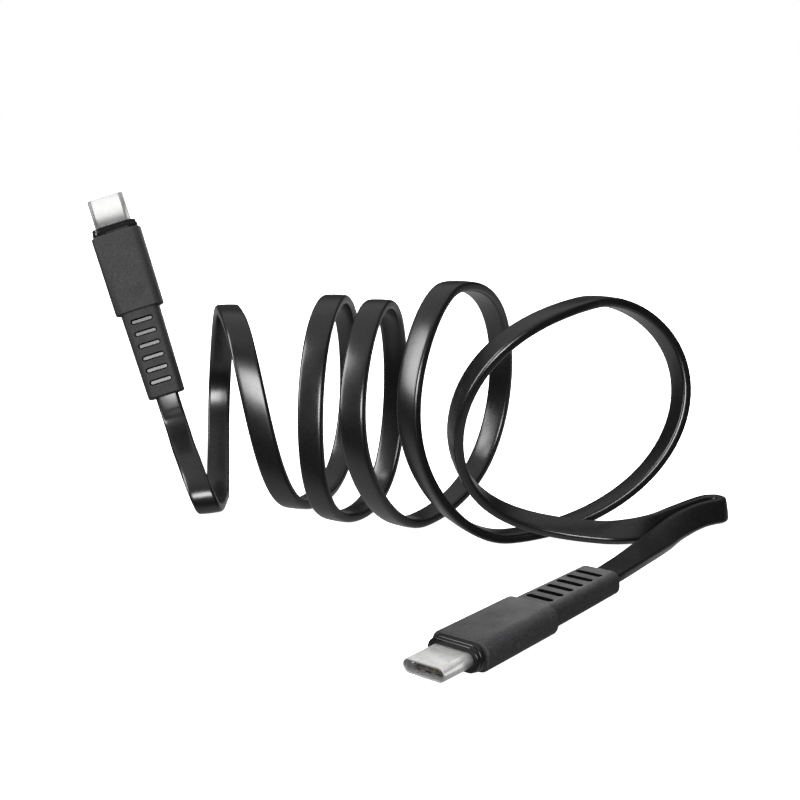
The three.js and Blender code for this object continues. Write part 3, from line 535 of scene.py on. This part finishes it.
def add_shell(plug):
    """The drawn metal nose: a seamless tube with a rolled mouth."""
    start, stop = plug.span("nose_shell")
    width, thickness = plug.size("nose_shell")
    outside, inside = [], []
    for inward, forward in quarter_steps(LIP_STEPS):
        at = start + NOSE_LIP * (1 - forward)
        outer = 2 * NOSE_LIP * inward
        inner = 2 * (NOSE_WALL - NOSE_LIP * inward)
        outside.append((at, width - outer, thickness - outer, thickness))
        inside.append((at, width - inner, thickness - inner, thickness))
    hollow = (width - 2 * NOSE_WALL, thickness - 2 * NOSE_WALL, thickness)
    profile = [(stop, *hollow), *inside, *reversed(outside), (stop, width, thickness, thickness)]
    shell = turned_profile(f"{plug.prefix}_shell", profile, plug.matrix, MATERIALS["shell"], steps=14)
    plug.add("nose_shell", shell, "shell")
    return shell


def add_collar(plug):
    """The glossy inner mould: a low step and a shoulder in front, a groove behind them."""
    start, stop = plug.span("inner_mould")
    width, thickness = plug.size("inner_mould", start=stop - FIT)
    nose_width, nose_thickness = plug.size("nose_shell")
    cover_width, cover_thickness = plug.size("shield_cover_upper")
    cover_start, _ = plug.span("shield_cover_upper")
    cable_width, cable_thickness = plug.size("cable_end")
    mouth = (nose_width + 2 * FIT, nose_thickness + 2 * FIT, nose_thickness)
    room = (cover_width + 2 * FIT, cover_thickness + 2 * FIT, cover_thickness / 2)
    channel = (cable_width + 2 * RELIEF_CLEARANCE, cable_thickness + 2 * RELIEF_CLEARANCE, CABLE_EDGE)
    rear_wall = stop - INNER_REAR_WALL
    profile = [(stop, *channel), (rear_wall, *channel), (rear_wall, *room), (cover_start - FIT, *room),
               (cover_start - FIT, *mouth), (start, *mouth)]
    shoulder = start + COLLAR_STEP_LENGTH
    groove = shoulder + COLLAR_SHOULDER_LENGTH
    for front, rear, size in ((start, shoulder, plug.size("inner_mould", stop=start + FIT)),
                              (shoulder, groove, plug.size("inner_mould"))):
        for inward, forward in reversed(quarter_steps(COLLAR_STEPS)):
            shrink = 2 * COLLAR_EDGE * inward
            at = front + COLLAR_EDGE * (1 - forward)
            profile.append((at, size[0] - shrink, size[1] - shrink, size[1] / 2))
        profile.append((rear, *size, size[1] / 2))
    profile += [(groove, width, thickness, thickness / 2), (stop, width, thickness, thickness / 2)]
    collar = turned_profile(f"{plug.prefix}_collar", profile, plug.matrix, MATERIALS["collar"], steps=10)
    bevel(collar, COLLAR_BEVEL)
    plug.add("inner_mould", collar, "collar")


def add_sleeve(plug):
    """The matte grip sleeve, with rounded front and rear edges."""
    start, stop = plug.span("grip_sleeve")
    front_width, thickness = plug.size("grip_sleeve")
    rear_width, _ = plug.size("grip_sleeve", start=stop - SLEEVE_ROUNDING - FIT)
    _, inner_stop = plug.span("inner_mould")
    inner_width, inner_thickness = plug.size("inner_mould", start=inner_stop - FIT)
    relief_start, _ = plug.span("strain_relief")
    flange_width, relief_thickness = plug.size("strain_relief")
    relief_width, _ = plug.size("strain_relief", start=stop - FIT)
    bore = (inner_width + 2 * FIT, inner_thickness + 2 * FIT, inner_thickness / 2)
    seat = (flange_width + 2 * FIT, relief_thickness + 2 * FIT, relief_thickness / 2)
    back = (relief_width + 2 * FIT, relief_thickness + 2 * FIT, RELIEF_CORNER)
    flange_stop = relief_start + RELIEF_FLANGE
    front, rear = [], []
    for inward, forward in quarter_steps(SLEEVE_STEPS):
        shrink = 2 * SLEEVE_ROUNDING * inward
        at = SLEEVE_ROUNDING * (1 - forward)
        front.append((start + at, front_width - shrink, thickness - shrink, SLEEVE_CORNER))
        rear.append((stop - at, rear_width - shrink, thickness - shrink, SLEEVE_CORNER))
    profile = [
        (stop, *back), (flange_stop + FIT, *back), (flange_stop + FIT, *seat), (relief_start - FIT, *seat),
        (relief_start - FIT, *bore), (start, *bore), *reversed(front), *rear,
    ]
    sleeve = turned_profile(f"{plug.prefix}_sleeve", profile, plug.matrix, MATERIALS["sleeve"], steps=12)
    bevel(sleeve, SLEEVE_BEVEL)
    plug.add("grip_sleeve", sleeve, "sleeve")
    return sleeve


def window_places(plug):
    """The windows' middles along the plug."""
    _, sleeve_stop = plug.span("grip_sleeve")
    return [sleeve_stop + WINDOW_FIRST + index * WINDOW_PITCH for index in range(WINDOW_COUNT)]


def core_span(plug):
    """Where the jacket's thicker stretch starts and ends along the plug."""
    places = window_places(plug)
    margin = WINDOW_WIDTH / 2 + CORE_REACH
    return places[0] - margin, places[-1] + margin


def pill(plug, name, z, inset, height):
    """A block through the plug with a window's outline, less inset; its faces take the second material,
    which is the jacket on a pad and the painted shade on a relief's window walls.
    """
    half = (WINDOW_LENGTH - WINDOW_WIDTH) / 2
    radius = WINDOW_WIDTH / 2 - inset
    outline = []
    for side, turn in ((1, -90), (-1, 90)):
        for step in range(PILL_STEPS + 1):
            angle = math.radians(turn + 180 * step / PILL_STEPS)
            outline.append((side * half + radius * math.cos(angle), z + radius * math.sin(angle)))
    rings = [[plug.matrix @ Vector((x, y, along)) for x, along in outline] for y in (height, -height)]
    piece = skin(name, rings, WINDOW_PAINTED_SHADE)
    piece.data.materials.append(MATERIALS["jacket"])
    for face in piece.data.polygons:
        face.material_index = 1
    return piece


def merge(target, piece):
    """Adds a piece's mesh to the target's and removes the piece."""
    mesh = bmesh.new()
    mesh.from_mesh(target.data)
    mesh.from_mesh(piece.data)
    mesh.to_mesh(target.data)
    mesh.free()
    bpy.data.objects.remove(piece)


def add_relief(plug):
    """The rubber boot: a taper with six windows in each face, their walls painted near-black as shade."""
    start, stop = plug.span("strain_relief")
    _, sleeve_stop = plug.span("grip_sleeve")
    flange_width, thickness = plug.size("strain_relief")
    front_width, _ = plug.size("strain_relief", start=sleeve_stop - FIT)
    rear_width, rear_thickness = plug.size("strain_relief", start=stop - RELIEF_ROUNDING - FIT)
    cable_width, cable_thickness = plug.size("cable_end")
    channel = (cable_width + 2 * RELIEF_CLEARANCE, cable_thickness + 2 * RELIEF_CLEARANCE, CABLE_EDGE)
    flange_stop = start + RELIEF_FLANGE
    rear = []
    for inward, forward in quarter_steps(RELIEF_STEPS):
        shrink = 2 * RELIEF_ROUNDING * inward
        at = RELIEF_ROUNDING * (1 - forward)
        rear.append((stop - at, rear_width - shrink, rear_thickness - shrink, RELIEF_CORNER))
    core = (CORE_WIDTH + 2 * FIT, CORE_THICKNESS + 2 * FIT, CORE_EDGE)
    core_start, core_stop = core_span(plug)
    profile = [
        (stop, *channel), (core_stop + FIT, *channel), (core_stop + FIT, *core), (core_start - FIT, *core),
        (core_start - FIT, *channel), (start, *channel), (start, flange_width, thickness, thickness / 2),
        (flange_stop, flange_width, thickness, thickness / 2),
        (flange_stop, front_width, thickness, RELIEF_CORNER),
        (sleeve_stop, front_width, thickness, RELIEF_CORNER), *rear,
    ]
    relief = turned_profile(f"{plug.prefix}_relief", profile, plug.matrix, MATERIALS["relief"], steps=10)
    # the windows' walls take this painted shade in place of the rubber
    relief.data.materials.append(WINDOW_PAINTED_SHADE)
    for place in window_places(plug):
        cutter = pill(plug, "window_cutter", place, 0.0, CUTTER_HEIGHT)
        modifier = relief.modifiers.new("window", "BOOLEAN")
        modifier.operation = "DIFFERENCE"
        modifier.object = cutter
        bpy.context.view_layer.objects.active = relief
        bpy.ops.object.modifier_apply(modifier=modifier.name)
        bpy.data.objects.remove(cutter)
    bevel(relief, RELIEF_BEVEL, RELIEF_BEVEL_ANGLE, segments=2)
    plug.add("strain_relief", relief, "relief")
    return relief


def add_cable_end(plug):
    """The jacket inside the strain relief, thicker under the windows, with a glossy pad in each of them and
    painted shade round the pads.
    """
    start, stop = plug.span("cable_end")
    width, thickness = plug.size("cable_end")
    first, last = core_span(plug)
    profile = [(start, width, thickness), (first, width, thickness), (first, CORE_WIDTH, CORE_THICKNESS),
               (last, CORE_WIDTH, CORE_THICKNESS), (last, width, thickness), (stop, width, thickness)]
    rings = [[plug.matrix @ Vector((x, y, z)) for x, y in rounded_ring(*size, CORE_EDGE, CORE_STEPS)]
             for z, *size in profile]
    # Painted shade on the jacket round the pads; the pads themselves take the jacket's gloss.
    jacket_end = skin(f"{plug.prefix}_jacket_end", rings, WINDOW_PAINTED_SHADE)
    jacket_end.data.materials.append(MATERIALS["jacket"])
    for place in window_places(plug):
        merge(jacket_end, pill(plug, "window_pads", place, PAD_INSET, PAD_HEIGHT))
    jacket_end.data.shade_flat()
    plug.add("cable_end", jacket_end, "jacket")


# ---------------------------------------------------------------- floor and light

FLOOR_SIZE = 8.0  # metres
FLOOR_GLOW = 0.9  # it is a light table
FLOOR_ROUGHNESS = 0.9
FLOOR_PATCHES = 4.0
CENTRE = (0.015, 0.0, 0.02)  # metres: what the soft boxes and cards face
LIGHTS = (  # name, place, width and height in metres, watts
    ("front", (0.02, -0.57, 0.16), (0.38, 0.24), 3.6),
    ("left", (-0.85, -0.25, 0.50), (0.32, 0.90), 8.5),
)
METAL_CARDS = (  # the same for the cards that only the metal shells mirror
    ("card_front", (-0.10, -0.55, 0.22), (0.60, 0.50), 1.5),
    ("card_back", (0.10, 0.70, 0.26), (1.00, 0.44), 1.25),
    ("card_right", (0.70, 0.06, 0.02), (0.80, 0.40), 1.0),
    ("card_left", (-0.70, -0.06, 0.02), (0.50, 0.40), 0.45),
)
MATTE_CARD = ("card_matte", (0.10, 0.70, 0.26), (1.00, 0.44), 4.0)  # gives sleeves and reliefs their sheen
SUN_PLACE = (0.0, 0.0, 1.0)
SUN_TARGET = (0.0, 0.0, 0.0)
SUN_STRENGTH = 4.5
SUN_SPREAD = 110.0  # degrees across: a soft light from overhead
BACKDROP_LIGHT = 1.0
ROOM_LIGHT = 0.015
CEILING_LIGHT = 0.36
GROUND_LIGHT = 0.40
CEILING_DIRECTION = (0.0, 0.2, 0.98)
CEILING_RANGE = (0.45, 0.85)  # what toward() gives where its light starts, and where it is full
GROUND_DIRECTION = (0.0, 0.45, -0.89)  # down and a little backward
GROUND_RANGE = (0.2, 0.7)


def add_stage():
    """A wide white floor, which neither lights the cable nor shows in its gloss."""
    half = FLOOR_SIZE / 2
    corners = [(-half, -half, 0.0), (half, -half, 0.0), (half, half, 0.0), (-half, half, 0.0)]
    mesh = bpy.data.meshes.new("floor")
    mesh.from_pydata(corners, [], [(0, 1, 2, 3)])
    material, tree, shader = principled("floor_white", grey(0.92), FLOOR_ROUGHNESS)
    shader.inputs["Emission Color"].default_value = (1.0, 1.0, 1.0, 1.0)
    shader.inputs["Emission Strength"].default_value = FLOOR_GLOW
    tint(tree, noise(tree, FLOOR_PATCHES), grey(0.915), grey(0.925), shader.inputs["Base Color"])
    floor = add_object("floor", mesh, material)
    floor.visible_glossy = False
    floor.visible_diffuse = False


def place_light(name, data, place, target):
    """A light that points at its target and that the camera doesn't see."""
    light = bpy.data.objects.new(name, data)
    light.location = place
    light.rotation_euler = (Vector(target) - Vector(place)).to_track_quat("-Z", "Y").to_euler()
    light.visible_camera = False
    bpy.context.scene.collection.objects.link(light)
    return light


def area_light(name, place, size, power):
    """A soft box or card that faces the cable."""
    data = bpy.data.lights.new(name, "AREA")
    data.shape = "RECTANGLE"
    data.size, data.size_y = size
    data.energy = power
    return place_light(name, data, place, CENTRE)


def receivers(name, objects, state):
    """A set of objects that a light reaches, or leaves out."""
    collection = bpy.data.collections.new(name)
    for obj in objects:
        collection.objects.link(obj)
    for member in collection.collection_objects:
        member.light_linking.link_state = state
    return collection


def add_lights(shells, matte):
    """Soft boxes for all but the metal, cards for the metal and the matte pieces, a soft sun for all."""
    all_but_metal = receivers("all_but_metal", shells, "EXCLUDE")
    metal = receivers("metal", shells, "INCLUDE")
    matte_pieces = receivers("matte_pieces", matte, "INCLUDE")
    for row in LIGHTS:
        area_light(*row).light_linking.receiver_collection = all_but_metal
    for row in METAL_CARDS:
        area_light(*row).light_linking.receiver_collection = metal
    area_light(*MATTE_CARD).light_linking.receiver_collection = matte_pieces
    sun = bpy.data.lights.new("overhead", "SUN")
    sun.energy = SUN_STRENGTH
    sun.angle = math.radians(SUN_SPREAD)
    overhead = place_light("overhead", sun, SUN_PLACE, SUN_TARGET)
    overhead.visible_glossy = False


def brighten(tree, value, between, light):
    """Rises smoothly from nothing to a light's strength, where the value lies between two limits."""
    node = tree.nodes.new("ShaderNodeMapRange")
    node.interpolation_type = "SMOOTHSTEP"
    node.inputs["From Min"].default_value, node.inputs["From Max"].default_value = between
    node.inputs["To Min"].default_value = 0.0
    node.inputs["To Max"].default_value = light
    tree.links.new(value, node.inputs["Value"])
    return node.outputs["Result"]


def toward(tree, view, direction):
    """How far a ray points toward a direction: 1 along it, -1 against it."""
    node = tree.nodes.new("ShaderNodeVectorMath")
    node.operation = "DOT_PRODUCT"
    node.inputs[1].default_value = direction
    tree.links.new(view, node.inputs[0])
    return node.outputs["Value"]


def calculate(tree, operation, *values):
    """A Math node's result; each value is a number or a socket."""
    node = tree.nodes.new("ShaderNodeMath")
    node.operation = operation
    for socket, value in zip(node.inputs, values):
        if isinstance(value, float):
            socket.default_value = value
        else:
            tree.links.new(value, socket)
    return node.outputs["Value"]


def add_world():
    """A white backdrop round a dim room, which is lighter overhead and below for what the gloss mirrors."""
    world = bpy.data.worlds.new("studio")
    world.use_nodes = True
    tree = world.node_tree
    background = tree.nodes["Background"]
    background.inputs["Color"].default_value = (1.0, 1.0, 1.0, 1.0)
    view = tree.nodes.new("ShaderNodeTexCoord").outputs["Generated"]
    ceiling = brighten(tree, toward(tree, view, CEILING_DIRECTION), CEILING_RANGE, CEILING_LIGHT)
    ground = brighten(tree, toward(tree, view, GROUND_DIRECTION), GROUND_RANGE, GROUND_LIGHT)
    room = calculate(tree, "ADD", calculate(tree, "ADD", ceiling, ground), ROOM_LIGHT)
    camera_ray = tree.nodes.new("ShaderNodeLightPath").outputs["Is Camera Ray"]
    backdrop = calculate(tree, "MULTIPLY", camera_ray, BACKDROP_LIGHT)
    tree.links.new(calculate(tree, "MAXIMUM", room, backdrop), background.inputs["Strength"])
    bpy.context.scene.world = world
    bpy.context.scene.view_settings.view_transform = "Standard"


add_camera()
add_cable()
dress_cad_nodes()
shells = []
moulds = []
for prefix, place in (("plug_a", PLUG_A), ("plug_b", PLUG_B)):
    plug = Plug(prefix, place)
    shells.append(add_shell(plug))
    add_collar(plug)
    moulds += [add_sleeve(plug), add_relief(plug)]
    add_cable_end(plug)
add_stage()
add_lights(shells, moulds)
add_world()
